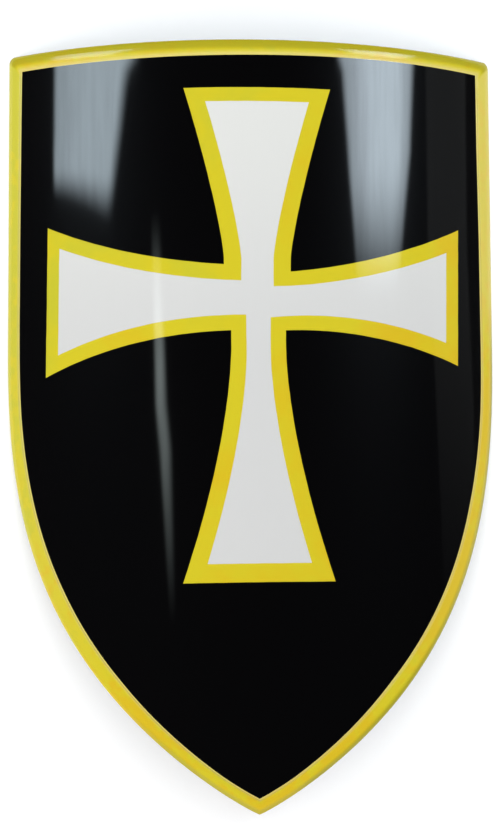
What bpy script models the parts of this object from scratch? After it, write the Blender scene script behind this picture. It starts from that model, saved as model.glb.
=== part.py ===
"""A heater shield of sheet steel, lying face up on its two straight sides.

Metres, +Z up, +X across the shield, +Y towards its top edge. The origin is on the floor, under the
middle of the shield. The sheet is laid out flat, with its distances measured along the steel, and is
then rolled about an axis that runs the length of the shield.
"""

import math

import bmesh
import bpy
from mathutils import Vector

# Overall size
HEIGHT = 0.711
WIDTH = 0.460
FACE_RADIUS = 0.360
SHEET = 0.0012

# Outline: the sides are straight down to a share of the height, then curve in to the point
STRAIGHT_SHARE = 0.38
SHOULDER_POWER = 2.57
POINT_POWER = 0.895
CORNER_RADIUS = 0.007

# Border: the hem lies on the face, rolls over at the edge and ends in a bead that stands out at the back
BORDER_WIDTH = 0.0158
HEM_FOOT = 0.0018
ROLL = 0.0070
BEAD_RADIUS = 0.0026
BEAD_FILLET = 0.0040
REST_DEPTH = 0.0008

# How finely the plate is divided
COLUMNS = 24
STRAIGHT_ROWS = 3
CURVED_ROWS = 24
CORNER_STEPS = 4
FOOT_STEPS = 3
ROLL_STEPS = 6
BEAD_STEPS = 3
FILLET_STEPS = 2

# Straps: each arches away from the back of the plate between two flat ends, with studs across each end
ARM_STRAP = {
    "x": 0.105,
    "width": 0.050,
    "thickness": 0.0035,
    "arch": 0.150,
    "depth": 0.052,
    "studs": (-0.013, 0.013),
}
GRIP_STRAP = {
    "x": -0.105,
    "width": 0.030,
    "thickness": 0.0040,
    "arch": 0.120,
    "depth": 0.046,
    "studs": (0.0,),
}
STRAP_Y = 0.055
STRAP_END = 0.032
ARCH_START = 0.34
ARCH_CROWN = 0.84
STRAP_EDGE = 0.0008
ARCH_SEGMENTS = 10

# Studs: a flange welded to the plate, a post through the strap and a domed head
STUD_FROM_END = 0.015
FLANGE_RADIUS = 0.0065
FLANGE_THICKNESS = 0.0010
POST_RADIUS = 0.0024
HEAD_RADIUS = 0.0072
HEAD_HEIGHT = 0.0028
STUD_SIDES = 16
DOME_STEPS = 4

# Clearances
CONTACT_GAP = 0.0003
HOLE_GAP = 0.0003

BEAD_HEIGHT = SHEET - BEAD_RADIUS
BEAD_TURN = math.asin((WIDTH / 2 - BEAD_RADIUS) / (FACE_RADIUS + BEAD_HEIGHT))
HALF_ARC = FACE_RADIUS * BEAD_TURN + BEAD_RADIUS
FLOOR = (FACE_RADIUS + BEAD_HEIGHT) * math.cos(BEAD_TURN) - BEAD_RADIUS + REST_DEPTH


def material(name, colour, roughness, metallic):
    """A Principled material of one colour."""
    made = bpy.data.materials.new(name)
    made.use_nodes = True
    shader = made.node_tree.nodes["Principled BSDF"]
    shader.inputs["Base Color"].default_value = (*colour, 1.0)
    shader.inputs["Roughness"].default_value = roughness
    shader.inputs["Metallic"].default_value = metallic
    return made


def collection(name):
    """A collection of that name in the scene."""
    made = bpy.data.collections.new(name)
    bpy.context.scene.collection.children.link(made)
    return made


def add(name, data, home, parent=None, location=(0.0, 0.0, 0.0)):
    """An object that holds the data, in its collection."""
    made = bpy.data.objects.new(name, data)
    made.parent = parent
    made.location = location
    home.objects.link(made)
    return made


def rolled(across, down, height):
    """Where a point of the flat sheet goes when the sheet is rolled. Height is above the face."""
    turn = across / FACE_RADIUS
    reach = FACE_RADIUS + height
    return Vector((reach * math.sin(turn), HEIGHT / 2 - down, reach * math.cos(turn) - FLOOR))


def half_arc(down):
    """Half of the shield's width, along the steel, at a distance below the top edge."""
    share = (down / HEIGHT - STRAIGHT_SHARE) / (1 - STRAIGHT_SHARE)
    share = min(max(share, 0.0), 1.0)
    return HALF_ARC * (1 - share**SHOULDER_POWER) ** POINT_POWER


def border_foot(down):
    """The point a border's width in from the side, square to the side, at a distance below the top edge."""
    step = HEIGHT * 1e-4
    slope = (half_arc(down + step) - half_arc(down - step)) / (2 * step)
    inward = Vector((-1.0, slope)).normalized() * BORDER_WIDTH
    return Vector((half_arc(down), down)) + inward


def lowest_side_station():
    """How far down the side the border's foot reaches the middle of the shield."""
    above, below = HEIGHT / 2, HEIGHT * 0.999
    while below - above > HEIGHT * 1e-6:
        middle = (above + below) / 2
        if border_foot(middle).x > 0:
            above = middle
        else:
            below = middle
    return above


def side_stations():
    """Pairs of an edge point and a border foot down the right side, between its corner and the point."""
    curve_top = HEIGHT * STRAIGHT_SHARE
    curve_bottom = lowest_side_station()
    straight = curve_top - BORDER_WIDTH
    curved = curve_bottom - curve_top
    downs = [BORDER_WIDTH + straight * row / STRAIGHT_ROWS for row in range(1, STRAIGHT_ROWS)]
    downs += [curve_top + curved * row / CURVED_ROWS for row in range(CURVED_ROWS)]
    return [(Vector((half_arc(down), down)), border_foot(down)) for down in downs]


def corner_stations():
    """Pairs round the right top corner: its edge is rounded, and its foot is sharp."""
    centre = Vector((HALF_ARC - CORNER_RADIUS, CORNER_RADIUS))
    foot = Vector((HALF_ARC - BORDER_WIDTH, BORDER_WIDTH))
    pairs = []
    for step in range(CORNER_STEPS + 1):
        turn = math.pi / 2 * step / CORNER_STEPS
        pairs.append((centre + CORNER_RADIUS * Vector((math.sin(turn), -math.cos(turn))), foot))
    return pairs


def top_stations():
    """Pairs along the top edge between its corners, from left to right."""
    pairs = []
    for column in range(1, COLUMNS):
        share = 2 * column / COLUMNS - 1
        edge = Vector((share * (HALF_ARC - CORNER_RADIUS), 0.0))
        foot = Vector((share * (HALF_ARC - BORDER_WIDTH), BORDER_WIDTH))
        pairs.append((edge, foot))
    return pairs


def mirrored(pairs):
    """The same pairs on the left side, in the opposite order."""
    return [(Vector((-edge.x, edge.y)), Vector((-foot.x, foot.y))) for edge, foot in reversed(pairs)]


def eased(share):
    """A rise from 0 to 1 that starts and ends level."""
    return share * share * (3 - 2 * share)


def border_section():
    """The border's section from its foot on the face, over the hem and round the bead, to the back.

    Each point is a distance in from the edge and a height above the face.
    """
    section = []
    for step in range(FOOT_STEPS + 1):
        share = step / FOOT_STEPS
        section.append((BORDER_WIDTH - HEM_FOOT * share, SHEET * eased(share)))
    for step in range(ROLL_STEPS + 1):
        turn = math.pi / 2 * step / ROLL_STEPS
        section.append((ROLL * (1 - math.sin(turn)), BEAD_HEIGHT + BEAD_RADIUS * math.cos(turn)))
    for step in range(1, BEAD_STEPS + 1):
        turn = math.pi / 2 * step / BEAD_STEPS
        section.append((BEAD_RADIUS * (1 - math.cos(turn)), BEAD_HEIGHT - BEAD_RADIUS * math.sin(turn)))
    bottom = BEAD_HEIGHT - BEAD_RADIUS
    for step in range(1, FILLET_STEPS + 1):
        share = step / FILLET_STEPS
        section.append((BEAD_RADIUS + BEAD_FILLET * share, bottom - (bottom + SHEET) * eased(share)))
    section.append((BORDER_WIDTH, -SHEET))
    return section


def add_grid(mesh, rows, closed=False):
    """Faces between rows of points. A closed grid's rows run all the way round."""
    made = [[mesh.verts.new(point) for point in row] for row in rows]
    for upper, lower in zip(made, made[1:]):
        count = len(upper)
        for i in range(count if closed else count - 1):
            j = (i + 1) % count
            mesh.faces.new((upper[i], upper[j], lower[j], lower[i]))


def plate_mesh():
    """The rolled sheet and its border, one closed body lofted between the outline and the border's foot."""
    side = side_stations()
    corner = corner_stations()
    point_foot = Vector((0.0, border_foot(lowest_side_station()).y))
    point = [(Vector((0.0, HEIGHT)), point_foot)]
    round_edge = top_stations() + corner + side + point + mirrored(side) + mirrored(corner)
    mesh = bmesh.new()
    border = []
    for inset, height in border_section():
        share = inset / BORDER_WIDTH
        border.append([rolled(*edge.lerp(foot, share), height) for edge, foot in round_edge])
    add_grid(mesh, border, closed=True)
    feet = [corner[0][1]] + [foot for _, foot in side] + [point_foot]
    for height in (0.0, -SHEET):
        rows = []
        for foot in feet:
            shares = [2 * column / COLUMNS - 1 for column in range(COLUMNS + 1)]
            rows.append([rolled(share * foot.x, foot.y, height) for share in shares])
        add_grid(mesh, rows)
    bmesh.ops.remove_doubles(mesh, verts=mesh.verts, dist=1e-6)
    bmesh.ops.recalc_face_normals(mesh, faces=mesh.faces)
    made = bpy.data.meshes.new("shield_plate")
    mesh.to_mesh(made)
    mesh.free()
    return made


def cut(target, cutter):
    """Takes the cutter's shape out of the target."""
    boolean = target.modifiers.new(cutter.name, "BOOLEAN")
    boolean.operation = "DIFFERENCE"
    boolean.object = cutter
    cutter.hide_render = True
    cutter.display_type = "WIRE"


def build_plate(home, cutters):
    """The plate, with a narrow flat cut under each straight side where it meets the floor."""
    plate = add("shield_plate", plate_mesh(), home)
    plate.data.materials.append(material("black_lacquer", (0.006, 0.006, 0.007), 0.12, 0.0))
    plate.data.shade_smooth()
    plate.data.set_sharp_from_angle(angle=math.radians(40))
    block = bmesh.new()
    bmesh.ops.create_cube(block, size=1.0)
    bmesh.ops.scale(block, vec=(WIDTH * 1.1, HEIGHT * 1.1, BEAD_RADIUS * 2), verts=block.verts)
    floor = bpy.data.meshes.new("rest_cutter")
    block.to_mesh(floor)
    block.free()
    cut(plate, add("rest_cutter", floor, cutters, location=(0.0, 0.0, -BEAD_RADIUS)))


def strap_ribbon(name, size):
    """The strap's upper face: a ribbon that leaves the plate, arches and comes back."""
    half = size["arch"] / 2
    curve = bpy.data.curves.new(name, "CURVE")
    curve.dimensions = "2D"
    curve.fill_mode = "NONE"
    curve.resolution_u = ARCH_SEGMENTS
    curve.extrude = size["width"] / 2
    spline = curve.splines.new("BEZIER")
    spline.bezier_points.add(4)
    knots = [
        (-half - STRAP_END, 0.0, STRAP_END / 3, STRAP_END / 3),
        (-half, 0.0, STRAP_END / 3, half * ARCH_START),
        (0.0, -size["depth"], half * ARCH_CROWN, half * ARCH_CROWN),
        (half, 0.0, half * ARCH_START, STRAP_END / 3),
        (half + STRAP_END, 0.0, STRAP_END / 3, STRAP_END / 3),
    ]
    for knot, (along, depth, before, after) in zip(spline.bezier_points, knots):
        knot.co = (along, depth, 0.0)
        knot.handle_left = (along - before, depth, 0.0)
        knot.handle_right = (along + after, depth, 0.0)
    return curve


def as_mesh(drawn, home):
    """Replaces a curve object by a mesh object of the same name and place."""
    shape = bpy.data.meshes.new_from_object(drawn.evaluated_get(bpy.context.evaluated_depsgraph_get()))
    name = drawn.name
    bpy.data.objects.remove(drawn)
    mesh = bmesh.new()
    mesh.from_mesh(shape)
    bmesh.ops.remove_doubles(mesh, verts=mesh.verts, dist=1e-6)
    # The curve lies in XY and is as wide as its extrude in Z: along goes to Y, depth to Z and width to X
    for vertex in mesh.verts:
        along, depth, width = vertex.co
        vertex.co = (width, along, depth)
    mesh.to_mesh(shape)
    mesh.free()
    return add(name, shape, home)


def stud_mesh(strap_thickness):
    """Half of the stud's section, from the flange's middle down to the middle of the head's dome."""
    strap_room = strap_thickness + 2 * CONTACT_GAP
    post_bottom = -FLANGE_THICKNESS - strap_room
    section = [
        (0.0, 0.0),
        (FLANGE_RADIUS, 0.0),
        (FLANGE_RADIUS, -FLANGE_THICKNESS),
        (POST_RADIUS, -FLANGE_THICKNESS),
        (POST_RADIUS, post_bottom),
    ]
    for step in range(DOME_STEPS + 1):
        turn = math.pi / 2 * step / DOME_STEPS
        section.append((HEAD_RADIUS * math.cos(turn), post_bottom - HEAD_HEIGHT * math.sin(turn)))
    made = bpy.data.meshes.new("stud")
    links = [(i, i + 1) for i in range(len(section) - 1)]
    made.from_pydata([(radius, 0.0, height) for radius, height in section], links, [])
    return made


def turn_round(target):
    """Turns a half section about the object's Z axis."""
    screw = target.modifiers.new("turned", "SCREW")
    screw.steps = STUD_SIDES
    screw.render_steps = STUD_SIDES
    screw.use_merge_vertices = True
    screw.merge_threshold = 1e-5


def hole_mesh(strap_thickness):
    """A cylinder that makes a stud's hole in the strap."""
    made = bpy.data.meshes.new("hole")
    mesh = bmesh.new()
    radius = POST_RADIUS + HOLE_GAP
    bmesh.ops.create_cone(
        mesh, cap_ends=True, segments=STUD_SIDES, radius1=radius, radius2=radius, depth=4 * strap_thickness
    )
    mesh.to_mesh(made)
    mesh.free()
    return made


def build_strap(name, size, leather, steel, home, cutters):
    """A strap and its studs, square to the back of the plate where the strap sits."""
    reach = FACE_RADIUS - SHEET
    turn = math.asin(size["x"] / reach)
    seat = bpy.data.objects.new(f"{name}_seat", None)
    seat.location = (reach * math.sin(turn), STRAP_Y, reach * math.cos(turn) - FLOOR)
    seat.rotation_euler = (0.0, turn, 0.0)
    home.objects.link(seat)

    flange_edge = max(size["studs"]) + FLANGE_RADIUS
    flange_top = math.sqrt(reach**2 - flange_edge**2) - reach - CONTACT_GAP
    top = flange_top - FLANGE_THICKNESS - CONTACT_GAP
    strap = as_mesh(add(name, strap_ribbon(name, size), home), home)
    strap.parent = seat
    strap.location = (0.0, 0.0, top)
    strap.data.materials.append(leather)
    solid = strap.modifiers.new("thickness", "SOLIDIFY")
    solid.thickness = size["thickness"]
    solid.offset = -1.0
    solid.use_even_offset = True
    edges = strap.modifiers.new("soft_edges", "BEVEL")
    edges.width = STRAP_EDGE
    edges.segments = 1
    edges.angle_limit = math.radians(60)

    stud = stud_mesh(size["thickness"])
    stud.materials.append(steel)
    hole = hole_mesh(size["thickness"])
    end = size["arch"] / 2 + STRAP_END - STUD_FROM_END
    places = [(across, along, flange_top) for along in (end, -end) for across in size["studs"]]
    for number, place in enumerate(places, start=1):
        turn_round(add(f"{name}_stud_{number}", stud, home, seat, place))
        cut(strap, add(f"{name}_hole_{number}", hole, cutters, seat, place))


def main():
    for old in list(bpy.data.objects):
        bpy.data.objects.remove(old)
    home = collection("heater_shield")
    cutters = collection("cutters")
    build_plate(home, cutters)
    leather = material("strap_leather", (0.16, 0.075, 0.035), 0.6, 0.0)
    steel = material("stud_steel", (0.55, 0.55, 0.56), 0.35, 1.0)
    build_strap("arm_strap", ARM_STRAP, leather, steel, home, cutters)
    build_strap("grip_strap", GRIP_STRAP, leather, steel, home, cutters)


main()
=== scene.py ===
"""The looks of a heater shield: lacquered sheet steel with a rolled border and two leather straps.

Metres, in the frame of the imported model: +Z up, +X across the shield, +Y towards its top edge. The shield
lies face up. Its sheet is drawn flat, with distances measured along the steel, and is then rolled about an
axis that runs the length of the shield. Its mesh and its paint share the flat coordinates: across from the
middle, down from the top edge, and height above the face. Instead of the height, the border's paint reads
the distance in from the edge. The straps and the studs have flat coordinates of their own.
"""

from __future__ import annotations

import logging
import math
from collections.abc import Sequence
from dataclasses import dataclass, field
from enum import Enum, IntEnum
from functools import reduce
from typing import Any, ClassVar, Union

import bmesh
import bpy
import numpy as np
from mathutils import Matrix, Vector


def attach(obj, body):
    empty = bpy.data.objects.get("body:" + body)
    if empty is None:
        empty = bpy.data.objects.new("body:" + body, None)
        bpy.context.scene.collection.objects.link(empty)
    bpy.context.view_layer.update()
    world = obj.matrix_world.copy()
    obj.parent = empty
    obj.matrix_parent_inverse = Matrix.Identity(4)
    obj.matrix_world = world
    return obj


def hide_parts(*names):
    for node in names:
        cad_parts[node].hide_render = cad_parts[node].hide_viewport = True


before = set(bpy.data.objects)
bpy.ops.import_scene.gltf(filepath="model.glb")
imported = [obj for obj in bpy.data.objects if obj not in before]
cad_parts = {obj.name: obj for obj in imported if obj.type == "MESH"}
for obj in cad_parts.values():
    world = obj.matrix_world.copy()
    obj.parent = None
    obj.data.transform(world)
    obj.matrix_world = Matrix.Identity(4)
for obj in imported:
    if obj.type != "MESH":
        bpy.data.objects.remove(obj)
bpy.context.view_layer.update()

LOG = logging.getLogger("heater_shield")
BODY = "root"
SHEET_PLACE = "sheet"
BAKE_MAP = "OFBake"
MERGE_WITHIN = 2e-6
QUARTER_TURN = math.pi / 2
Array = np.ndarray
Material = bpy.types.Material
Socket = bpy.types.NodeSocket
Range = tuple[float, float]
Colour = tuple[float, float, float]
Number = Union["Value", float]


def eased(share: Array | float) -> Array | float:
    """A rise from 0 to 1 that starts and ends level."""
    return share * share * (3 - 2 * share)


def between(values: Sequence[float], place: float, low: float, high: float) -> float:
    """The value at a place, where the values stand at even steps from low to high."""
    return float(np.interp(place, np.linspace(low, high, len(values)), values))


def quarter(steps: int) -> Array:
    """The angles of a quarter turn, in even steps."""
    return np.linspace(0.0, QUARTER_TURN, steps + 1)


class Value:
    """A number that changes over a surface. Arithmetic on it adds Math nodes to its tree."""

    def __init__(self, nodes: Nodes, socket: Socket) -> None:
        """Wraps an output socket of that tree."""
        self.nodes = nodes
        self.socket = socket

    def math(self, operation: str, *values: Number) -> Value:
        """Adds a Math node.

        Args:
            operation: The node's operation.
            values: What goes into its sockets, in order.

        Returns:
            The node's result.
        """
        node = self.nodes.add("ShaderNodeMath", {"operation": operation}, dict(enumerate(values)))
        return Value(self.nodes, node.outputs[0])

    def __add__(self, other: Number) -> Value:
        """The sum."""
        return self.math("ADD", self, other)

    __radd__ = __add__

    def __sub__(self, other: Number) -> Value:
        """This less the other."""
        return self.math("SUBTRACT", self, other)

    def __rsub__(self, other: Number) -> Value:
        """The other less this."""
        return self.math("SUBTRACT", other, self)

    def __mul__(self, other: Number) -> Value:
        """The product."""
        return self.math("MULTIPLY", self, other)

    __rmul__ = __mul__

    def __pow__(self, other: Number) -> Value:
        """This raised to the other."""
        return self.math("POWER", self, other)

    def __abs__(self) -> Value:
        """Its size without its sign."""
        return self.math("ABSOLUTE", self)

    def least(self, other: Number) -> Value:
        """The smaller of the two."""
        return self.math("MINIMUM", self, other)

    def most(self, other: Number) -> Value:
        """The larger of the two."""
        return self.math("MAXIMUM", self, other)


class Nodes:
    """Adds nodes to one node tree."""

    def __init__(self, tree: bpy.types.NodeTree) -> None:
        """Takes the tree to add to."""
        self.tree = tree

    def feed(self, socket: Socket, value: Any) -> None:
        """Links a value or a socket into a socket, or sets the socket to a constant."""
        if isinstance(value, Value):
            value = value.socket
        if isinstance(value, Socket):
            self.tree.links.new(value, socket)
        elif socket.type == "RGBA" and len(value) == 3:
            socket.default_value = (*value, 1.0)
        else:
            socket.default_value = value

    def add(self, kind: str, settings: dict[str, Any], inputs: dict[int | str, Any]) -> bpy.types.Node:
        """Adds a node.

        Args:
            kind: The node's type.
            settings: Its settings, which are set first.
            inputs: The values or links of its sockets, by name or number.

        Returns:
            The node.
        """
        node = self.tree.nodes.new(kind)
        for name, setting in settings.items():
            setattr(node, name, setting)
        for key, value in inputs.items():
            self.feed(node.inputs[key], value)
        return node

    def flat_place(self) -> tuple[Socket, Value, Value, Value]:
        """The flat coordinates that a mesh carries, as one vector and as three values."""
        place = self.add("ShaderNodeAttribute", {"attribute_name": SHEET_PLACE}, {}).outputs["Vector"]
        parts = self.add("ShaderNodeSeparateXYZ", {}, {0: place}).outputs
        return place, Value(self, parts[0]), Value(self, parts[1]), Value(self, parts[2])

    def stretched(self, place: Socket, scale: Colour) -> Socket:
        """The place with each of its distances multiplied by its own factor."""
        return self.add("ShaderNodeVectorMath", {"operation": "MULTIPLY"}, {0: place, 1: scale}).outputs[0]

    def noise(self, place: Socket, scale: float, detail: float = 2.0) -> Value:
        """Smooth noise from 0 to 1, with that many waves a metre."""
        made = self.add("ShaderNodeTexNoise", {}, {"Vector": place, "Scale": scale, "Detail": detail})
        return Value(self, made.outputs[0])

    def ramp(self, value: Number, low: float, high: float) -> Value:
        """Rises smoothly from 0 at low to 1 at high."""
        settings = {"interpolation_type": "SMOOTHSTEP"}
        return Value(self, self.add("ShaderNodeMapRange", settings, {0: value, 1: low, 2: high}).outputs[0])

    def blend(self, share: Number, first: Any, second: Any) -> Socket:
        """A colour that goes from the first to the second with the share."""
        made = self.add("ShaderNodeMix", {"data_type": "RGBA"}, {0: share, 6: first, 7: second})
        return made.outputs[2]

    def bump(self, height: Value, depth: float) -> Socket:
        """A normal from a height of 0 to 1, which stands for that depth in metres."""
        return self.add("ShaderNodeBump", {}, {"Distance": depth, "Height": height}).outputs[0]


class Finish:
    """A surface finish, which makes one material."""

    def sockets(self, nodes: Nodes) -> dict[str, Any]:
        """What goes into the shader's sockets, by name."""
        raise NotImplementedError

    def material(self) -> Material:
        """Makes the material that shows this finish."""
        letters = ("_" + letter.lower() if letter.isupper() else letter for letter in type(self).__name__)
        made = bpy.data.materials.new("".join(letters)[1:])
        made.use_nodes = True
        nodes = Nodes(made.node_tree)
        shader = made.node_tree.nodes["Principled BSDF"]
        for name, value in self.sockets(nodes).items():
            nodes.feed(shader.inputs[name], value)
        return made


class Way(Enum):
    """The way an arm of the cross points on the flat sheet, as (across, down)."""

    UP = (0, -1)
    DOWN = (0, 1)
    LEFT = (-1, 0)
    RIGHT = (1, 0)


@dataclass(frozen=True)
class CrossArm:
    """One painted arm. Its sides are straight near the crossing and curve apart towards its end."""

    way: Way
    reach: float
    waist: float
    flare: float
    flare_start: float
    flare_power: float
    line: float
    line_widens: float
    end_line: float
    middle: float = 0.0
    lean: float = 0.0
    end_slant: float = 0.0

    FLARE_UNIT: ClassVar[float] = 0.1
    OVERLAP: ClassVar[float] = 0.002

    def insides(self, right: Value, low: Value) -> tuple[Value, Value]:
        """How far a place is inside the arm.

        Args:
            right: The place's distance to the right of the cross's middle.
            low: Its distance below it.

        Returns:
            Its distance inside the outer edge of the arm's outline, and inside the inner edge.
        """
        x, y = self.way.value
        along = right * x if x else low * y
        beside = (low if x else right) - self.middle - along * self.lean
        spread = ((along - self.flare_start) * (1 / self.FLARE_UNIT)).most(0.0) ** self.flare_power
        side = self.waist + spread * self.flare - abs(beside)
        end = self.reach + beside * self.end_slant - along
        start = along + self.OVERLAP
        inner_side = side - self.line - along * self.line_widens
        return side.least(end).least(start), inner_side.least(end - self.end_line).least(start)


@dataclass(frozen=True)
class YellowPaint:
    """Golden yellow, which drifts towards amber and towards olive."""

    yellow: Colour = (0.545, 0.452, 0.016)
    amber: Colour = (0.575, 0.398, 0.012)
    olive: Colour = (0.475, 0.437, 0.024)
    amber_range: Range = (0.50, 0.78)
    olive_range: Range = (0.46, 0.22)
    warm_across: float = 0.8
    warm_down: float = 0.5
    warm_from: float = 0.22
    drift: float = 9.0
    mottle: float = 55.0
    speckle: float = 0.30

    def warmth(self, across: Value, down: Value) -> Value:
        """How warm the paint is at a place: more so to the right and towards the point."""
        return across * self.warm_across + (down - self.warm_from) * self.warm_down

    def colour(self, nodes: Nodes, place: Socket, warmth: Number) -> Socket:
        """The paint's colour at a place. Warmth above 0 turns it to amber, and below 0 to olive."""
        drifted = nodes.noise(place, self.drift, detail=1.0) + warmth
        drifted = drifted + (nodes.noise(place, self.mottle, detail=3.0) - 0.5) * self.speckle
        warm, green = nodes.ramp(drifted, *self.amber_range), nodes.ramp(drifted, *self.olive_range)
        return nodes.blend(green, nodes.blend(warm, self.yellow, self.amber), self.olive)


@dataclass(frozen=True)
class GlossCoat:
    """The clear gloss over all the paint of the front, and the faint haziness of the paint under it."""

    haze: float = 0.35
    haze_level: float = 0.03
    weight: float = 0.98
    roughness: float = 0.05
    streak: Colour = (90.0, 5.0, 1.0)
    streak_share: float = 0.12
    streak_depth: float = 0.000012
    thread: float = 2.2
    thread_range: Range = (0.25, 0.80)

    def sockets(self, nodes: Nodes, place: Socket) -> dict[str, Any]:
        """The sockets that the coat fills."""
        drawn = nodes.stretched(place, self.streak)
        threads = nodes.ramp(nodes.noise(drawn, self.thread, detail=4.0), *self.thread_range)
        return {
            "Roughness": self.haze,
            "Specular IOR Level": self.haze_level,
            "Coat Weight": self.weight - threads * self.streak_share,
            "Coat Roughness": self.roughness,
            "Normal": nodes.bump(nodes.noise(drawn, 1.0), self.streak_depth),
        }


@dataclass(frozen=True)
class PaintedFace(Finish):
    """The front: black, with a white cross that is outlined in yellow, all flat paint under one coat."""

    black: Colour = (0.0008, 0.0007, 0.0009)
    white: Colour = (0.610, 0.600, 0.565)
    low_white: Colour = (0.540, 0.530, 0.512)
    low_white_range: Range = (0.06, 0.32)
    yellow: YellowPaint = YellowPaint()
    coat: GlossCoat = GlossCoat()
    centre: tuple[float, float] = (0.0010, 0.2430)
    arms: tuple[CrossArm, ...] = (
        CrossArm(
            Way.UP, reach=0.1975, waist=0.0307, flare=0.0205, flare_start=0.0368, flare_power=1.29,
            line=0.0158, line_widens=0.003, end_line=0.0130, middle=-0.0008, lean=0.0043,
        ),
        CrossArm(
            Way.DOWN, reach=0.2596, waist=0.0251, flare=0.0128, flare_start=0.0450, flare_power=1.64,
            line=0.0136, line_widens=0.012, end_line=0.0170, middle=0.0000, lean=0.0023, end_slant=-0.012,
        ),
        CrossArm(
            Way.LEFT, reach=0.2046, waist=0.0299, flare=0.0089, flare_start=0.0000, flare_power=2.12,
            line=0.0142, line_widens=0.004, end_line=0.0129, middle=-0.0007, lean=-0.015, end_slant=0.011,
        ),
        CrossArm(
            Way.RIGHT, reach=0.2035, waist=0.0271, flare=0.0129, flare_start=0.0242, flare_power=1.83,
            line=0.0126, line_widens=0.021, end_line=0.0144, middle=0.0037, lean=-0.0663, end_slant=-0.018,
        ),
    )
    brush_waves: float = 70.0
    brush_wander: float = 0.0005
    edge_blur: float = 0.0003

    def sockets(self, nodes: Nodes) -> dict[str, Any]:
        """The painted colours, and the coat over them."""
        place, across, down, _ = nodes.flat_place()
        right, low = across - self.centre[0], down - self.centre[1]
        insides = zip(*(arm.insides(right, low) for arm in self.arms))
        wander = (nodes.noise(place, self.brush_waves, detail=1.0) - 0.5) * self.brush_wander
        outer, inner = (
            nodes.ramp(reduce(Value.most, inside) + wander, -self.edge_blur, self.edge_blur)
            for inside in insides
        )
        white = nodes.blend(nodes.ramp(down, *self.low_white_range), self.white, self.low_white)
        yellow = self.yellow.colour(nodes, place, self.yellow.warmth(across, down))
        paint = nodes.blend(inner, nodes.blend(outer, self.black, yellow), white)
        return {"Base Color": paint, **self.coat.sockets(nodes, place)}


@dataclass(frozen=True)
class PaintedBorder(Finish):
    """The border: the same yellow, a little uneven where it is brushed over the hem and the bead.

    Painted shade darkens it over the bead, most of all along the top edge, low down on the right and at the
    point. A pale painted highlight runs along the hem's foot, and a pale painted reflection lies on the
    sides, most of all high on the right.
    """

    yellow: YellowPaint = YellowPaint(drift=13.0, mottle=95.0, speckle=0.95, warm_down=0.6, warm_from=0.33)
    # Painted shade: the darker yellow laid over the bead where it rolls away from the light.
    dusky: Colour = (0.290, 0.255, 0.010)
    # Painted highlight and reflection: the pale line at the hem's foot and the pale sheen on the sides.
    pale: Colour = (0.600, 0.505, 0.185)
    top_range: Range = (0.006, 0.002)
    beside_range: Range = (0.12, 0.22)
    right_range: Range = (0.0, 0.05)
    low_range: Range = (0.21, 0.30)
    point_range: Range = (0.60, 0.67)
    top_warmth: float = 0.03
    # The painted shade: how far it reaches over the bead, and how dark it is in each place.
    dusk_full: float = 0.0015
    dusk_reach: float = 0.0070
    top_dusk_reach: float = 0.0120
    dusk: float = 0.08
    top_dusk: float = 0.62
    right_dusk: float = 0.92
    point_dusk: float = 0.7
    # The painted highlight along the hem's foot: where it starts and how pale it is, wider along the top.
    line_from: float = 0.0120
    top_line_from: float = 0.0095
    line_full: float = 0.0156
    line: float = 0.65
    top_line: float = 0.55
    # The painted reflection on the sides, and how much more of it lies high on the right.
    haze: float = 0.10
    right_haze: float = 0.30
    coat: GlossCoat = GlossCoat(weight=0.62, roughness=0.12, streak=(60.0, 60.0, 60.0), streak_share=0.1)

    def sockets(self, nodes: Nodes) -> dict[str, Any]:
        """The paint with its painted shade, highlight and reflection, and the coat over it."""
        place, across, down, inset = nodes.flat_place()
        top = nodes.ramp(down - inset, *self.top_range)
        beside, right = nodes.ramp(abs(across), *self.beside_range), nodes.ramp(across, *self.right_range)
        low, pointed = nodes.ramp(down, *self.low_range), nodes.ramp(down, *self.point_range)
        warmth = self.yellow.warmth(across, down) * (1 - top) + top * self.top_warmth
        paint = self.yellow.colour(nodes, place, warmth)
        # Painted shade over the bead, deepest along the top edge, low down on the right and at the point.
        more = (right * low).most(pointed * self.point_dusk) * self.right_dusk
        over_bead = inset - top * (self.top_dusk_reach - self.dusk_reach)
        dusk = nodes.ramp(over_bead, self.dusk_reach, self.dusk_full)
        dusk = dusk * (self.dusk + top * self.top_dusk + more).least(1.0)
        paint = nodes.blend(dusk, paint, self.dusky)
        # Painted highlight: a pale line along the hem's foot, wider along the top edge.
        line = nodes.ramp(inset, self.line_from, self.line_full) * self.line
        top_line = nodes.ramp(inset, self.top_line_from, self.line_full) * top * self.top_line
        # Painted reflection: a pale sheen on the sides, strongest high on the right.
        haze = beside * (1 - top) * (self.haze + right * (1 - low) * self.right_haze)
        paint = nodes.blend(line.most(top_line).most(haze), paint, self.pale)
        return {"Base Color": paint, **self.coat.sockets(nodes, place)}


@dataclass(frozen=True)
class PaintedBack(Finish):
    """The back: one coat of black, less glossy than the front."""

    black: Colour = (0.008, 0.008, 0.009)
    dusty: Colour = (0.016, 0.0155, 0.015)
    roughness: Range = (0.30, 0.46)
    patches: float = 14.0
    patch_range: Range = (0.35, 0.70)
    peel: float = 420.0
    peel_depth: float = 0.00003

    def sockets(self, nodes: Nodes) -> dict[str, Any]:
        """A black that is slightly dull in patches, over a fine orange peel."""
        place = nodes.flat_place()[0]
        dull = nodes.ramp(nodes.noise(place, self.patches, detail=4.0), *self.patch_range)
        low, high = self.roughness
        return {
            "Base Color": nodes.blend(dull, self.black, self.dusty),
            "Roughness": low + dull * (high - low),
            "Normal": nodes.bump(nodes.noise(place, self.peel, detail=1.0), self.peel_depth),
        }


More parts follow.
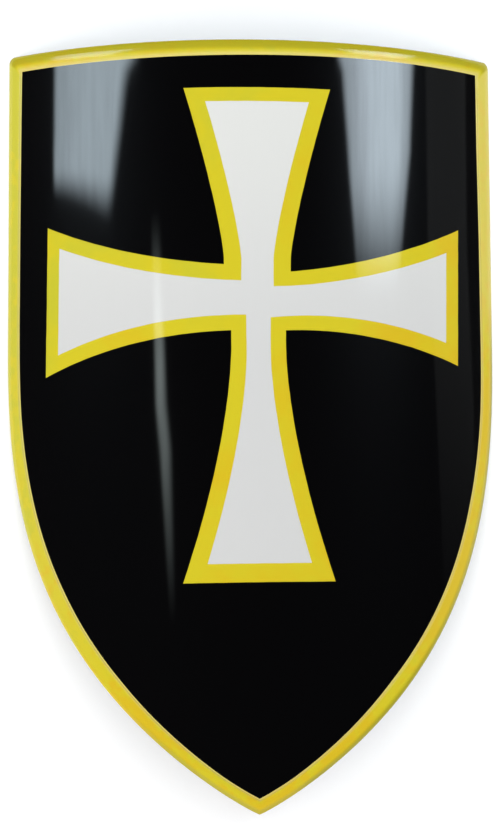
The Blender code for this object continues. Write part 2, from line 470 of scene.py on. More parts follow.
@dataclass(frozen=True)
class StrapLeather(Finish):
    """Dark brown leather with a fine grain, paler where it bends and darker along its burnished edges."""

    brown: Colour = (0.105, 0.045, 0.020)
    pale: Colour = (0.180, 0.085, 0.040)
    burnt: Colour = (0.028, 0.013, 0.008)
    roughness: Range = (0.42, 0.62)
    grain: float = 900.0
    grain_edge: float = 0.25
    grain_height: float = 0.6
    grain_depth: float = 0.00012
    grain_shine: float = 0.06
    crinkle: float = 260.0
    crinkle_height: float = 0.8
    cloud: float = 60.0
    cloud_share: float = 0.5
    bend_range: Range = (0.010, 0.052)
    bend_wander: float = 0.02
    bend_share: float = 0.6
    edge_range: Range = (0.0022, 0.00066)

    def sockets(self, nodes: Nodes) -> dict[str, Any]:
        """The leather's colours, its shine and its grain."""
        place, _, bend, inset = nodes.flat_place()
        cells = nodes.add(
            "ShaderNodeTexVoronoi", {"feature": "DISTANCE_TO_EDGE"}, {"Vector": place, "Scale": self.grain}
        ).outputs["Distance"]
        grain = nodes.ramp(Value(nodes, cells), 0.0, self.grain_edge)
        cloud = nodes.noise(place, self.cloud, detail=4.0) - 0.5
        worn = nodes.ramp(bend + cloud * self.bend_wander, *self.bend_range) * self.bend_share
        colour = nodes.blend((worn + cloud * self.cloud_share).most(0.0), self.brown, self.pale)
        edge = nodes.ramp(inset, *self.edge_range)
        crinkle = nodes.noise(place, self.crinkle, detail=3.0) * self.crinkle_height
        low, high = self.roughness
        return {
            "Base Color": nodes.blend(edge, colour, self.burnt),
            "Roughness": high - edge * (high - low) - grain * self.grain_shine,
            "Normal": nodes.bump(grain * self.grain_height + crinkle, self.grain_depth),
        }


@dataclass(frozen=True)
class TurnedSteel(Finish):
    """Steel with fine rings from the lathe, and a few dull spots."""

    steel: Colour = (0.52, 0.52, 0.53)
    dull: Colour = (0.34, 0.33, 0.32)
    roughness: Range = (0.24, 0.46)
    spots: float = 500.0
    spot_range: Range = (0.52, 0.75)
    rim_range: Range = (0.004, 0.008)
    rim_roughness: float = 0.04
    rings: float = 2600.0
    ring_depth: float = 0.00002

    def sockets(self, nodes: Nodes) -> dict[str, Any]:
        """The metal's colour, its shine and its rings."""
        place, reach, _, _ = nodes.flat_place()
        spots = nodes.ramp(nodes.noise(place, self.spots, detail=3.0), *self.spot_range)
        rings = nodes.noise(nodes.stretched(place, (self.rings, 0.0, 0.0)), 1.0)
        rim = nodes.ramp(reach, *self.rim_range)
        low, high = self.roughness
        return {
            "Base Color": nodes.blend(spots, self.steel, self.dull),
            "Metallic": 1.0,
            "Roughness": low + spots * (high - low) + rim * self.rim_roughness,
            "Normal": nodes.bump(rings, self.ring_depth),
        }


@dataclass(frozen=True)
class PaleFloor(Finish):
    """The floor: matt and nearly white."""

    pale: Colour = (0.975, 0.965, 0.955)
    roughness: float = 0.9
    gloss: float = 0.1

    def sockets(self, nodes: Nodes) -> dict[str, Any]:
        """One even colour and shine."""
        return {"Base Color": self.pale, "Roughness": self.roughness, "Specular IOR Level": self.gloss}


def triples(x: Array, y: Array, z: Array | float) -> Array:
    """Points, one a row, from grids of their three values."""
    return np.stack(np.broadcast_arrays(x, y, z), axis=-1).reshape(-1, 3)


def seated(local: Array, seat: Matrix) -> Array:
    """Where the points of something are when it stands on its seat."""
    matrix = np.array(seat)
    return local @ matrix[:3, :3].T + matrix[:3, 3]


def piece(
    name: str,
    places: Array,
    faces: Array,
    flats: Array,
    finishes: Sequence[Material],
    slots: Array | None = None,
    maps: Array | None = None,
    sharp: float = 40.0,
) -> bpy.types.Object:
    """Makes a smooth mesh object from points and four-sided faces, with equal points merged.

    Args:
        name: The piece's name.
        places: Its points, one a row.
        faces: Point numbers, four a face.
        flats: For each point, the flat coordinates that its finishes read.
        finishes: Its materials.
        slots: For each face, the number of its material.
        maps: For each face, the places of its four corners on the map that its finish is baked on.
        sharp: Edges that turn by more than this many degrees stay sharp.

    Returns:
        The object.
    """
    mesh = bpy.data.meshes.new(name)
    mesh.from_pydata(places.tolist(), [], faces.tolist())
    for finish in finishes:
        mesh.materials.append(finish)
    if slots is not None:
        mesh.polygons.foreach_set("material_index", slots.astype(np.int32))
    flat = mesh.attributes.new(SHEET_PLACE, "FLOAT_VECTOR", "POINT")
    flat.data.foreach_set("vector", flats.astype(np.float32).ravel())
    if maps is not None:
        mesh.uv_layers.new(name=BAKE_MAP).uv.foreach_set("vector", maps.astype(np.float32).ravel())
    work = bmesh.new()
    work.from_mesh(mesh)
    bmesh.ops.remove_doubles(work, verts=work.verts, dist=MERGE_WITHIN)
    bmesh.ops.dissolve_degenerate(work, edges=work.edges, dist=MERGE_WITHIN)
    bmesh.ops.recalc_face_normals(work, faces=work.faces)
    work.to_mesh(mesh)
    work.free()
    mesh.shade_smooth()
    mesh.set_sharp_from_angle(angle=math.radians(sharp))
    made = bpy.data.objects.new(name, mesh)
    bpy.context.scene.collection.objects.link(made)
    return made


def grid_faces(rows: int, columns: int, closed: bool = False, first: int = 0) -> Array:
    """The faces between rows of points.

    Args:
        rows: How many rows there are.
        columns: How many points a row has.
        closed: Whether each row runs all the way round.
        first: The number of the first point.

    Returns:
        Point numbers, four a face.
    """
    steps = columns if closed else columns - 1
    row, column = np.meshgrid(np.arange(rows - 1), np.arange(steps), indexing="ij")
    row, column = row.ravel(), column.ravel()
    after = (column + 1) % columns
    corners = [row * columns + column, row * columns + after, (row + 1) * columns + after]
    return np.stack([*corners, (row + 1) * columns + column], axis=1) + first


@dataclass(frozen=True)
class Sheet:
    """The shield's sheet of steel: its outline on the flat, and how it is rolled."""

    height: float = 0.711
    width: float = 0.460
    radius: float = 0.360
    thickness: float = 0.0012
    bead: float = 0.0026
    rest_depth: float = 0.0008
    straight_share: float = 0.38
    shoulder_power: float = 2.57
    point_power: float = 0.895
    corner: float = 0.007

    SLOPE_STEP: ClassVar[float] = 1e-4

    @property
    def bead_reach(self) -> float:
        """The distance from the roll's axis to the middle of the bead, whose top is level with the hem."""
        return self.radius + self.thickness - self.bead

    @property
    def turn(self) -> float:
        """The angle from the middle of the face to the middle of the bead."""
        return math.asin((self.width / 2 - self.bead) / self.bead_reach)

    @property
    def axis_depth(self) -> float:
        """How far the axis of the roll lies below the floor that the bead rests on."""
        return self.bead_reach * math.cos(self.turn) - self.bead + self.rest_depth

    @property
    def half_top(self) -> float:
        """Half of the width along the steel, where the sides are straight."""
        return self.radius * self.turn + self.bead

    @property
    def crown(self) -> float:
        """The height of the face's highest line above the floor."""
        return self.radius - self.axis_depth

    def half_arc(self, down: float) -> float:
        """Half of the width along the steel, at a distance below the top edge."""
        share = (down / self.height - self.straight_share) / (1 - self.straight_share)
        share = min(max(share, 0.0), 1.0)
        return self.half_top * (1 - share**self.shoulder_power) ** self.point_power

    def inward(self, down: float) -> Array:
        """The way in from the right side, square to it, at a distance below the top edge."""
        step = self.height * self.SLOPE_STEP
        slope = (self.half_arc(down + step) - self.half_arc(down - step)) / (2 * step)
        return np.array([-1.0, slope]) / math.hypot(1.0, slope)

    def rolled(self, flats: Array) -> Array:
        """Where places of the flat sheet are when it is rolled. None is below the floor."""
        across, down, height = flats[..., 0], flats[..., 1], flats[..., 2]
        turn, reach = across / self.radius, self.radius + height
        level = np.maximum(reach * np.cos(turn) - self.axis_depth, 0.0)
        return np.stack([reach * np.sin(turn), self.height / 2 - down, level], axis=-1)


@dataclass
class Station:
    """A place on the shield's edge where the border's section stands."""

    edge: Array
    inward: Array
    width: float
    limit: float = math.inf

    @property
    def foot(self) -> Array:
        """Where the border's foot meets the face."""
        return self.edge + self.inward * min(self.width, self.limit)


class PlatePaint(IntEnum):
    """The plate's finishes, by their number among its materials."""

    FACE = 0
    BORDER = 1
    BACK = 2


@dataclass
class ShieldPlate:
    """The rolled sheet and its border: a hem on the face, which rolls over the edge into a bead at the back.

    The widths of the border stand at even steps, along the top from the left and down each side. Both sides
    end with the width at the point.
    """

    sheet: Sheet
    top_widths: tuple[float, ...] = (0.0158, 0.0154, 0.0147, 0.0139, 0.0148)
    left_widths: tuple[float, ...] = (0.0166, 0.0158, 0.0152, 0.0149, 0.0153, 0.0164, 0.0169, 0.0161)
    right_widths: tuple[float, ...] = (0.0190, 0.0187, 0.0173, 0.0168, 0.0163, 0.0175, 0.0170, 0.0166)
    point_width: float = 0.0129
    point_width_from: float = 0.97
    nominal_border: float = 0.0158
    hem_foot: float = 0.0018
    roll: float = 0.0070
    bead_fillet: float = 0.0040
    lead_in: float = 0.0006
    columns: int = 120
    straight_rows: int = 36
    curved_rows: int = 90
    corner_steps: int = 14
    point_steps: int = 12
    section_steps: tuple[int, int, int, int] = (8, 16, 9, 5)
    front_share: float = 0.74
    map_margin: float = 0.006
    map_gap: float = 0.01

    SEARCH_TO: ClassVar[float] = 0.999
    SEARCH_STEP: ClassVar[float] = 1e-7
    LEVEL_STEP: ClassVar[float] = 1e-9

    def border_width(self, down: float, side: float) -> float:
        """The width of the border on one side, at a distance below the top edge."""
        widths = self.right_widths if side > 0 else self.left_widths
        return between((*widths, self.point_width), down, 0.0, self.sheet.height * self.point_width_from)

    def top_width(self, across: float) -> float:
        """The width of the border along the top edge, at a distance from the middle."""
        return between(self.top_widths, across, -self.sheet.half_top, self.sheet.half_top)

    def side(self, side: float) -> tuple[list[Station], list[Station]]:
        """The stations down one side.

        Args:
            side: 1 for the right and -1 for the left.

        Returns:
            Those whose foot is on the face, and those near the point, which are mitred.
        """
        sheet = self.sheet
        mirror = np.array([side, 1.0])

        def station(down: float) -> Station:
            edge = np.array([sheet.half_arc(down), down])
            inward = sheet.inward(down)
            limit = edge[0] / max(-inward[0], self.LEVEL_STEP)
            return Station(edge * mirror, inward * mirror, self.border_width(down, side), limit)

        above, below = sheet.height / 2, sheet.height * self.SEARCH_TO
        while below - above > sheet.height * self.SEARCH_STEP:
            middle = (above + below) / 2
            there = station(middle)
            above, below = (middle, below) if there.limit > there.width else (above, middle)
        start, curve_top = self.top_width(side * sheet.half_top), sheet.height * sheet.straight_share
        straight = np.linspace(start, curve_top, self.straight_rows + 1)[1:-1]
        curved = curve_top + (above - curve_top) * np.linspace(0.0, 1.0, self.curved_rows + 1)
        pointed = above + (sheet.height - above) * np.linspace(0.0, 1.0, self.point_steps + 1)[1:-1]
        return [station(down) for down in (*straight, *curved)], [station(down) for down in pointed]

    def corner(self, side: float) -> list[Station]:
        """The stations round one top corner, from the top edge to the side. They share a sharp foot."""
        sheet = self.sheet
        centre = np.array([sheet.half_top - sheet.corner, sheet.corner])
        beside = sheet.half_top - self.border_width(0.0, side)
        foot = np.array([beside, self.top_width(side * beside)])
        mirror = np.array([side, 1.0])
        stations = []
        for turn in quarter(self.corner_steps):
            edge = centre + sheet.corner * np.array([math.sin(turn), -math.cos(turn)])
            stations.append(self.facing(edge * mirror, foot * mirror))
        return stations

    def top(self, left: Station, right: Station) -> list[Station]:
        """The stations along the top edge, between its corners."""
        stations = []
        for share in np.linspace(0.0, 1.0, self.columns + 1)[1:-1]:
            edge = left.edge + (right.edge - left.edge) * share
            foot = left.foot + (right.foot - left.foot) * share
            foot[1] = self.top_width(foot[0])
            stations.append(self.facing(edge, foot))
        return stations

    def facing(self, edge: Array, foot: Array) -> Station:
        """The station whose border reaches from a place on the edge to its foot."""
        width = float(np.hypot(*(foot - edge)))
        return Station(edge, (foot - edge) / width, width)

    def upper(self, inset: Array, width: float) -> Array:
        """The height of the border's front above the face, at distances in from its edge."""
        bead, thick = self.sheet.bead, self.sheet.thickness
        past = np.clip(1 - inset / self.roll, 0.0, 1.0)
        roll = thick - bead * (1 - np.sqrt(1 - past**2))
        foot = thick * eased(np.clip((width - self.lead_in - inset) / self.hem_foot, 0.0, 1.0))
        return np.minimum(roll, foot)

    def lower(self, inset: Array) -> Array:
        """The height of the border's back, at distances in from its edge."""
        bead, thick = self.sheet.bead, self.sheet.thickness
        middle = thick - bead
        round_part = middle - np.sqrt(np.maximum(bead**2 - (bead - inset) ** 2, 0.0))
        rise = np.clip((inset - bead) / self.bead_fillet, 0.0, 1.0)
        bottom = middle - bead
        return np.where(inset < bead, round_part, bottom - (thick + bottom) * eased(rise))

    def section(self, at: Station) -> tuple[Array, Array, Array]:
        """The border's section at a station, from its foot over the bead to the back.

        Args:
            at: The station.

        Returns:
            The flat coordinates of its points, what their paint reads, and their places with the bead
            unrolled. The paint reads how far in from the edge they would be in a border of nominal width.
        """
        foot_steps, roll_steps, bead_steps, back_steps = self.section_steps
        bead = self.sheet.bead
        over = np.concatenate([
            [at.width],
            at.width - self.lead_in - np.linspace(0.0, self.hem_foot, foot_steps + 1),
            self.roll * (1 - np.sin(quarter(roll_steps))),
        ])
        under = np.concatenate([
            bead * (1 - np.cos(quarter(bead_steps)[1:])),
            np.linspace(bead, bead + self.bead_fillet, back_steps + 1)[1:],
            [at.width],
        ])
        over, under = np.minimum(over, at.limit), np.minimum(under, at.limit)
        inset = np.concatenate([over, under])
        height = np.concatenate([self.upper(over, at.width), self.lower(under)])
        ground = at.edge + inset[:, None] * at.inward
        spread = bead * (QUARTER_TURN - 1) * np.clip(1 - inset / bead, 0.0, 1.0)
        reads = np.column_stack([ground, inset * (self.nominal_border / at.width)])
        return np.column_stack([ground, height]), reads, ground - spread[:, None] * at.inward

    def on_map(self, flats: Array, front: bool) -> Array:
        """Where places of the flat sheet are on the bake's map. The front has most of the map."""
        half, high = self.sheet.half_top + self.map_margin, self.sheet.height + 2 * self.map_margin
        u = (flats[..., 0] + half) / (2 * half)
        v = 1 - (flats[..., 1] + self.map_margin) / high
        back_from = self.front_share + self.map_gap
        u = u * self.front_share if front else back_from + u * (1 - back_from)
        return np.stack([u, v], axis=-1)

    def build(self) -> bpy.types.Object:
        """Makes the plate's mesh and dresses it.

        Returns:
            The plate.
        """
        left, right = self.corner(-1), self.corner(1)
        left_side, left_point = self.side(-1)
        right_side, right_point = self.side(1)
        top = self.top(left[0], right[0])
        tip = Station(np.array([0.0, self.sheet.height]), np.array([0.0, -1.0]), self.point_width, 0.0)
        around = top + right + right_side + right_point + [tip]
        around += left_point[::-1] + left_side[::-1] + left[::-1]
        sections = [self.section(station) for station in around]
        border, reads, unrolled = (np.stack(part, axis=1) for part in zip(*sections))
        rows, count = border.shape[:2]
        faces = [grid_faces(rows, count, closed=True)]
        front_rows = 1 + sum(steps + 1 for steps in self.section_steps[:2])
        face_rows = faces[0][:, 0] // count
        slots = [np.where(face_rows < rows - 2, PlatePaint.BORDER, PlatePaint.BACK)]
        in_front = (face_rows < front_rows - 1)[:, None, None]
        spots = unrolled.reshape(-1, 2)[faces[0]]
        maps = [np.where(in_front, self.on_map(spots, True), self.on_map(spots, False))]
        flats, reads = [border.reshape(-1, 3)], [reads.reshape(-1, 3)]

        feet = [(left[0].foot, right[0].foot)]
        feet += [(a.foot, b.foot) for a, b in zip(left_side, right_side)]
        shares = np.linspace(0.0, 1.0, self.columns + 1)[:, None]
        ground = np.stack([a + (b - a) * shares for a, b in feet])
        ground[0, 1:-1] = [station.foot for station in top]
        for paint, height in ((PlatePaint.FACE, 0.0), (PlatePaint.BACK, -self.sheet.thickness)):
            grid = grid_faces(*ground.shape[:2], first=sum(len(part) for part in flats))
            faces.append(grid)
            slots.append(np.full(len(grid), paint))
            maps.append(self.on_map(ground.reshape(-1, 2)[grid - grid[0, 0]], paint is PlatePaint.FACE))
            for parts, level in ((flats, height), (reads, self.nominal_border)):
                parts.append(np.dstack([ground, np.full(ground.shape[:2], level)]).reshape(-1, 3))
        finishes = [PaintedFace().material(), PaintedBorder().material(), PaintedBack().material()]
        made = piece(
            "shield_plate_painted",
            self.sheet.rolled(np.concatenate(flats)),
            np.concatenate(faces),
            np.concatenate(reads),
            finishes,
            np.concatenate(slots),
            np.concatenate(maps),
        )
        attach(made, BODY)
        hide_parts("shield_plate")
        return made


@dataclass
class Stud:
    """A stud that is welded to the back of the plate and holds a strap under its domed head."""

    flange_radius: float = 0.0065
    flange_thickness: float = 0.0010
    post_radius: float = 0.0024
    head_radius: float = 0.0072
    head_height: float = 0.0028
    edge: float = 0.0003
    sides: int = 48
    dome_steps: int = 12

    def build(self, name: str, seat: Matrix, room: float, steel: Material) -> bpy.types.Object:
        """Turns the stud.

        Args:
            name: The CAD node that it stands for.
            seat: Where its flange meets the plate, with its post along -Z.
            room: The length of post between the flange and the head.
            steel: Its material.

        Returns:
            The stud.
        """
        low = -self.flange_thickness - room
        radii = [0.0, self.flange_radius - self.edge, self.flange_radius, self.flange_radius]
        levels = [0.0, 0.0, -self.edge, -self.flange_thickness]
        radii += [self.post_radius, self.post_radius, self.head_radius - self.edge]
        levels += [-self.flange_thickness, low, low]
        radii += list(self.head_radius * np.cos(quarter(self.dome_steps)))
        levels += list(low - self.edge - (self.head_height - self.edge) * np.sin(quarter(self.dome_steps)))
        radii, levels = np.array(radii), np.array(levels)
        around = np.linspace(0.0, 2 * math.pi, self.sides, endpoint=False)
        reach, turn = np.meshgrid(radii, around, indexing="ij")
        local = triples(reach * np.cos(turn), reach * np.sin(turn), levels[:, None])
        flats = triples(reach, levels[:, None], turn * self.head_radius)
        faces = grid_faces(len(radii), self.sides, closed=True)
        made = piece(f"{name}_turned", seated(local, seat), faces, flats, [steel])
        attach(made, BODY)
        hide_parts(name)
        return made


@dataclass
class Strap:
    """A leather strap that arches away from the back of the plate between two ends under studs."""

    sheet: Sheet
    name: str
    x: float
    width: float
    thickness: float
    arch: float
    depth: float
    studs: tuple[float, ...]
    y: float = 0.055
    end: float = 0.032
    arch_start: float = 0.34
    arch_crown: float = 0.84
    stud_from_end: float = 0.015
    gap: float = 0.0003
    round_edge: float = 0.0011
    end_round: float = 0.009
    crease_inset: float = 0.0045
    crease_width: float = 0.0009
    crease_depth: float = 0.0004
    arch_steps: int = 36
    edge_steps: int = 5
    crease_points: int = 7
    middle_points: int = 7
    end_steps: int = 8
    inner_rings: Range = (1.6, 2.4)
    middle_from: float = 1.5
    sharp: float = 60.0
    grain_along: float = 3.0
    stud: Stud = field(default_factory=Stud)

    @property
    def seat(self) -> Matrix:
        """Where the strap sits on the back of the plate, with +Z square to the plate."""
        reach = self.sheet.radius - self.sheet.thickness
        turn = math.asin(self.x / reach)
        place = Vector((reach * math.sin(turn), self.y, reach * math.cos(turn) - self.sheet.axis_depth))
        return Matrix.Translation(place) @ Matrix.Rotation(turn, 4, "Y")

    @property
    def flange_top(self) -> float:
        """The level of the studs' flanges under the hollow of the plate's back."""
        reach = self.sheet.radius - self.sheet.thickness
        edge = max(self.studs) + self.stud.flange_radius
        return math.sqrt(reach**2 - edge**2) - reach - self.gap

    @property
    def top(self) -> float:
        """The level of the strap's upper face where it lies flat."""
        return self.flange_top - self.stud.flange_thickness - self.gap

    def path(self) -> tuple[Array, Array]:
        """The strap's upper face, which is its inner one, from one end to the other.

        Returns:
            The points along the strap and in depth, and the way out of the upper face at each.
        """
        half, third = self.arch / 2, self.end / 3
        start, crown = half * self.arch_start, half * self.arch_crown
        flat_end, flat = np.array([-half - self.end, 0.0]), np.array([-half, 0.0])
        low = np.array([0.0, -self.depth])
        along = np.array([1.0, 0.0])
        spans = [(flat_end, flat_end + third * along, flat - third * along, flat, self.arch_steps // 2)]
        spans += [(flat, flat + start * along, low - crown * along, low, self.arch_steps)]
        points, ways = [], []
        for first, near, far, last, count in spans:
            t = np.linspace(0.0, 1.0, count + 1)[:-1, None]
            s = 1 - t
            points.append(s**3 * first + 3 * s * s * t * near + 3 * s * t * t * far + t**3 * last)
            ways.append(3 * s * s * (near - first) + 6 * s * t * (far - near) + 3 * t * t * (last - far))
        points, ways = np.concatenate(points), np.concatenate(ways)
        mirror = np.array([-1.0, 1.0])
        points = np.concatenate([points, [low], points[::-1] * mirror])
        ways = np.concatenate([ways, [along], ways[::-1] * -mirror])
        ways /= np.hypot(ways[:, 0], ways[:, 1])[:, None]
        return points, np.stack([-ways[:, 1], ways[:, 0]], axis=1)

    def refined_path(self) -> tuple[Array, Array, Array]:
        """The path with more points near both ends, so that their rounded corners and edges are smooth.

        Returns:
            The points, the ways out and each point's distance from the nearer end.
        """
        points, normals = self.path()
        steps = np.hypot(*np.diff(points, axis=0).T)
        along = np.concatenate([[0.0], np.cumsum(steps)])
        fine = self.round_edge * (1 - np.cos(quarter(self.edge_steps - 1)))
        fine = np.concatenate([fine, np.linspace(self.round_edge, self.end_round, self.end_steps + 1)[1:]])
        places = np.unique(np.round(np.concatenate([along, fine, along[-1] - fine]), 7))
        spot = np.stack([np.interp(places, along, points[:, i]) for i in (0, 1)], axis=1)
        way = np.stack([np.interp(places, along, normals[:, i]) for i in (0, 1)], axis=1)
        way /= np.hypot(way[:, 0], way[:, 1])[:, None]
        return spot, way, np.minimum(places, along[-1] - places)

    def all_round(self, outer: Array, inner: Array, sign: float = 1.0) -> Array:
        """Values round the strap's sections, from those over the left half of the outer and inner faces.

        Args:
            outer: The values from the left edge of the outer face to its middle, one section a row.
            inner: The same for the inner face.
            sign: The sign that the values have on the right half.

        Returns:
            The values over the outer face, and then back over the inner face.
        """
        halves = (outer, inner)
        outer, inner = (np.concatenate([half, sign * half[:, ::-1][:, 1:]], axis=1) for half in halves)
        return np.concatenate([outer, inner[:, ::-1]], axis=1)

    def build(self, leather: Material, steel: Material) -> list[bpy.types.Object]:
        """Makes the strap and its studs.

        Args:
            leather: The strap's material.
            steel: The studs' material.

        Returns:
            The strap, and then its studs.
        """
        spots, ways, from_end = self.refined_path()
        half, thick, edge = self.width / 2, self.thickness, self.round_edge
        insets = np.concatenate([
            edge * (1 - np.cos(quarter(self.edge_steps))),
            edge * np.array(self.inner_rings),
            self.crease_inset + self.crease_width * np.linspace(-1.0, 1.0, self.crease_points),
            np.linspace(self.crease_inset * self.middle_from, half, self.middle_points),
        ])
        rounding = np.maximum(self.end_round - from_end, 0.0)
        narrowing = self.end_round - np.sqrt(np.maximum(self.end_round**2 - rounding**2, 0.0))
        across_half = (half - narrowing)[:, None] - insets * ((half - narrowing) / half)[:, None]
        reach = np.minimum(insets, from_end[:, None])
        sunk = np.clip(1 - np.abs(reach - self.crease_inset) / self.crease_width, 0.0, 1.0)
        round_down = edge - np.sqrt(np.maximum(edge**2 - np.maximum(edge - reach, 0.0) ** 2, 0.0))
        outer = thick - round_down - self.crease_depth * eased(sunk)
        across = self.all_round(-across_half, -across_half, -1.0)
        depth = self.all_round(outer, round_down)
        near = self.all_round(reach, reach)
        line = spots[:, None, :] - ways[:, None, :] * depth[..., None]
        level = line[..., 1] + self.top
        level[[0, -1]] = self.top - thick / 2
        places = seated(triples(across, line[..., 0], level), self.seat)
        flats = triples(across + spots[:, None, 0] * self.grain_along, -spots[:, None, 1], near)
        faces = grid_faces(*near.shape, closed=True)
        strap = piece(f"{self.name}_leather", places, faces, flats, [leather], sharp=self.sharp)
        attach(strap, BODY)
        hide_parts(self.name)
        made = [strap]
        at_end = self.arch / 2 + self.end - self.stud_from_end
        spread = [(x, y) for y in (at_end, -at_end) for x in self.studs]
        for number, (x, y) in enumerate(spread, start=1):
            seat = self.seat @ Matrix.Translation((x, y, self.flange_top))
            made.append(self.stud.build(f"{self.name}_stud_{number}", seat, thick + 2 * self.gap, steel))
        return made


@dataclass
class PhotoCamera:
    """A camera high over the shield, which looks down on it a little from the left and from the point."""

    sheet: Sheet
    target: tuple[float, float] = (-0.0052, 0.0093)
    target_below_crown: float = 0.030
    distance: float = 2.4
    azimuth: float = math.radians(-3.78)
    tilt: float = math.radians(-6.21)
    roll: float = math.radians(-0.27)
    lens: float = 113.0

    @property
    def axes(self) -> Matrix:
        """The camera's right, up and backward axes, as the columns of a matrix."""
        flat = math.cos(self.tilt)
        back = Vector((math.sin(self.azimuth) * flat, math.sin(self.tilt), math.cos(self.azimuth) * flat))
        right = Vector((0.0, 1.0, 0.0)).cross(back).normalized()
        up = back.cross(right)
        cos, sin = math.cos(self.roll), math.sin(self.roll)
        return Matrix((right * cos + up * sin, up * cos - right * sin, back)).transposed()

    @property
    def place(self) -> Vector:
        """Where the camera is."""
        target = Vector((*self.target, self.sheet.crown - self.target_below_crown))
        return target + self.axes.col[2] * self.distance

    def build(self) -> None:
        """Makes the camera and gives it to the scene."""
        data = bpy.data.cameras.new("photo_camera")
        data.lens = self.lens
        made = bpy.data.objects.new("photo_camera", data)
        made.matrix_world = Matrix.Translation(self.place) @ self.axes.to_4x4()
        bpy.context.scene.collection.objects.link(made)
        bpy.context.scene.camera = made


@dataclass
class LightPanel:
    """A soft light panel, placed by its mirror image on the face.

    The image is given by rows, from the panel's start to its end. A row holds its left and its right place
    across the flat sheet, and how far down both are. The right place of the last row can be lower. The panel
    fades over a share of its width at its left and right, and of its length at its start and end. Its left
    and its right can be weaker than its middle.
    """

    name: str
    image: tuple[tuple[float, float, float], ...]
    colour: Colour
    strength: float
    fades: tuple[float, float, float, float]
    lower_right: float = 0.0
    left_strength: float = 1.0
    right_strength: float = 1.0
    left_range: Range = (0.5, 0.0)
    right_range: Range = (0.72, 0.92)
    distance: float = 1.7
    steps: int = 6

    def place(self, across: float, down: float, sheet: Sheet, camera: PhotoCamera) -> Array:
        """Where the camera's line of sight goes after the face has mirrored it at a place."""
        spot = sheet.rolled(np.array([across, down, 0.0]))
        turn = across / sheet.radius
        out = np.array([math.sin(turn), 0.0, math.cos(turn)])
        sight = spot - np.array(camera.place)
        sight /= np.linalg.norm(sight)
        return spot + (sight - 2 * (sight @ out) * out) * self.distance

    def build(self, sheet: Sheet, camera: PhotoCamera) -> None:
        """Makes the panel, which the camera doesn't see.

        Args:
            sheet: The sheet that mirrors it.
            camera: The camera that sees its mirror image.
        """
        lefts, rights, downs = np.array(self.image).T
        right_downs = downs + self.lower_right * (np.arange(len(downs)) == len(downs) - 1)
        sides = (zip(lefts, downs), zip(rights, right_downs))
        left, right = (np.array([self.place(*at, sheet, camera) for at in side]) for side in sides)
        u = np.linspace(0.0, 1.0, self.steps + 1)
        places = left[:, None] * (1 - u[:, None]) + right[:, None] * u[:, None]
        along = (downs + right_downs) / 2
        along = (along - along[0]) / (along[-1] - along[0])
        flats = triples(*np.meshgrid(u, along), 0.0)
        glow = bpy.data.materials.new(self.name)
        glow.use_nodes = True
        glow.node_tree.nodes.clear()
        nodes = Nodes(glow.node_tree)
        _, beside, past, _ = nodes.flat_place()
        strength = 1 - nodes.ramp(beside, *self.left_range) * (1 - self.left_strength)
        strength = strength - nodes.ramp(beside, *self.right_range) * (1 - self.right_strength)
        for inside, fade in zip((beside, 1 - beside, past, 1 - past), self.fades):
            strength = strength * nodes.ramp(inside, 0.0, fade)
        inputs = {"Color": self.colour, "Strength": strength * self.strength}
        light = nodes.add("ShaderNodeEmission", {}, inputs)
        nodes.add("ShaderNodeOutputMaterial", {}, {"Surface": light.outputs[0]})
        made = piece(self.name, places.reshape(-1, 3), grid_faces(len(downs), len(u)), flats, [glow])
        made.visible_camera = False


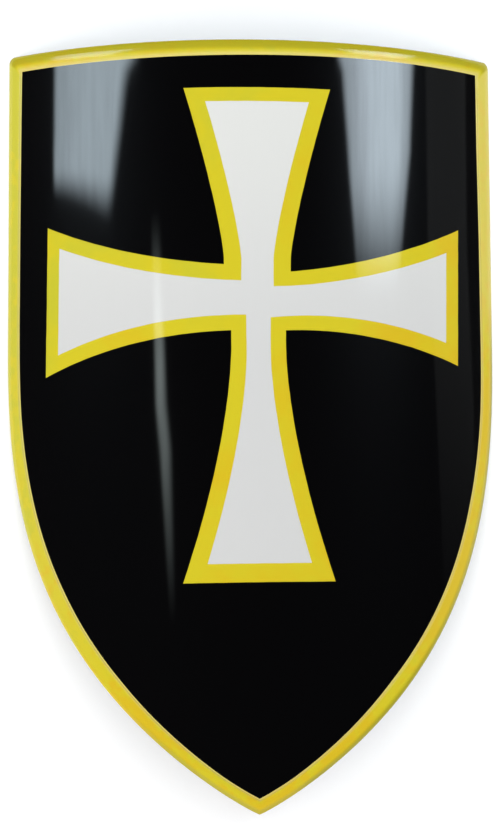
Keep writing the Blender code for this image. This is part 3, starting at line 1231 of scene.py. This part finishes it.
@dataclass
class Studio:
    """The pale floor, the soft light all round and the panels whose images show on the face."""

    sheet: Sheet
    floor_size: float = 14.0
    floor_points: int = 9
    floor_drop: float = 0.0002
    sky: Colour = (0.985, 0.985, 1.0)
    sky_strength: float = 1.19
    sky_lean: Range = (0.22, 0.50)
    rim_strength: float = 0.75
    rim_range: Range = (0.11, 0.02)
    wall_strength: float = 1.6
    wall_range: Range = (0.22, 0.50)
    panels: tuple[LightPanel, ...] = (
        LightPanel(
            "left_softbox",
            (
                (-0.1985, -0.1000, -0.060), (-0.1985, -0.1064, 0.0145), (-0.1985, -0.1156, 0.027),
                (-0.1985, -0.1187, 0.041), (-0.1985, -0.1232, 0.079), (-0.1985, -0.1355, 0.140),
            ),
            colour=(0.755, 0.905, 1.0), strength=9.9, fades=(0.08, 0.17, 0.28, 0.18),
            lower_right=0.033, left_strength=0.75,
        ),
        LightPanel(
            "right_softbox",
            (
                (0.0700, 0.1650, -0.060), (0.0740, 0.1585, 0.0145), (0.0788, 0.1576, 0.027),
                (0.0838, 0.1536, 0.099), (0.0900, 0.1437, 0.184), (0.0955, 0.1350, 0.251),
            ),
            colour=(0.766, 0.90, 1.0), strength=14.2, fades=(0.10, 0.10, 0.19, 0.47),
            left_strength=0.55, right_strength=0.62,
        ),
        LightPanel(
            "strip_light",
            (
                (-0.1000, -0.0885, 0.156), (-0.0965, -0.0829, 0.300), (-0.0960, -0.0815, 0.340),
                (-0.0922, -0.0772, 0.382), (-0.0882, -0.0763, 0.437), (-0.0815, -0.0738, 0.545),
            ),
            colour=(0.87, 1.0, 0.985), strength=4.0, fades=(0.36, 0.48, 0.41, 0.70),
        ),
        LightPanel(
            "right_wall",
            (
                (0.167, 0.221, -0.060), (0.167, 0.219, 0.180),
                (0.175, 0.225, 0.340), (0.185, 0.226, 0.600),
            ),
            colour=(0.95, 1.0, 1.0), strength=0.21, fades=(0.10, 0.10, 0.05, 0.75),
        ),
    )

    def build(self) -> None:
        """Makes the floor, the sky, the camera and the panels."""
        camera = PhotoCamera(self.sheet)
        camera.build()
        for panel in self.panels:
            panel.build(self.sheet, camera)
        self.build_floor()
        self.build_sky()
        bpy.context.scene.view_settings.view_transform = "Standard"

    def build_floor(self) -> None:
        """The floor, just under the shield."""
        steps = np.linspace(-self.floor_size / 2, self.floor_size / 2, self.floor_points)
        x, y = np.meshgrid(steps, steps)
        places = triples(x, y, -self.floor_drop)
        made = piece("pale_floor", places, grid_faces(*x.shape), places, [PaleFloor().material()])

    def build_sky(self) -> None:
        """Soft light from all round, stronger from beyond the point of the shield.

        Gloss mirrors only the pale rim of it, low over the floor, and the wall beyond the point.
        """
        world = bpy.data.worlds.new("soft_light")
        world.use_nodes = True
        world.node_tree.nodes.clear()
        nodes = Nodes(world.node_tree)
        way = nodes.add("ShaderNodeTexCoord", {}, {}).outputs["Generated"]
        parts = nodes.add("ShaderNodeSeparateXYZ", {}, {0: way}).outputs
        beyond_right, beyond_top, height = (Value(nodes, part) for part in parts)
        rim = nodes.ramp(height, *self.rim_range) * self.rim_strength
        wall = nodes.ramp(0 - beyond_top, *self.wall_range) * self.wall_strength
        soft = (1 - beyond_right * self.sky_lean[0] - beyond_top * self.sky_lean[1]) * self.sky_strength
        mirrored = Value(nodes, nodes.add("ShaderNodeLightPath", {}, {}).outputs["Is Glossy Ray"])
        strength = soft + mirrored * (rim.most(wall) - soft)
        light = nodes.add("ShaderNodeBackground", {}, {"Color": self.sky, "Strength": strength})
        nodes.add("ShaderNodeOutputWorld", {}, {"Surface": light.outputs[0]})
        bpy.context.scene.world = world


def main() -> None:
    """Builds the shield's pieces and the studio, and reports each piece."""
    logging.basicConfig(level=logging.INFO, format="%(message)s")
    sheet = Sheet()
    Studio(sheet).build()
    made = [ShieldPlate(sheet).build()]
    leather, steel = StrapLeather().material(), TurnedSteel().material()
    straps = [
        Strap(
            sheet, "arm_strap", x=0.105, width=0.050, thickness=0.0035,
            arch=0.150, depth=0.052, studs=(-0.013, 0.013),
        ),
        Strap(
            sheet, "grip_strap", x=-0.105, width=0.030, thickness=0.0040,
            arch=0.120, depth=0.046, studs=(0.0,),
        ),
    ]
    for strap in straps:
        made += strap.build(leather, steel)
    for shown in made:
        size = [round(1000 * side) for side in shown.dimensions]
        LOG.info("%s: %d faces, %s mm", shown.name, len(shown.data.polygons), size)


if __name__ == "__main__":
    main()
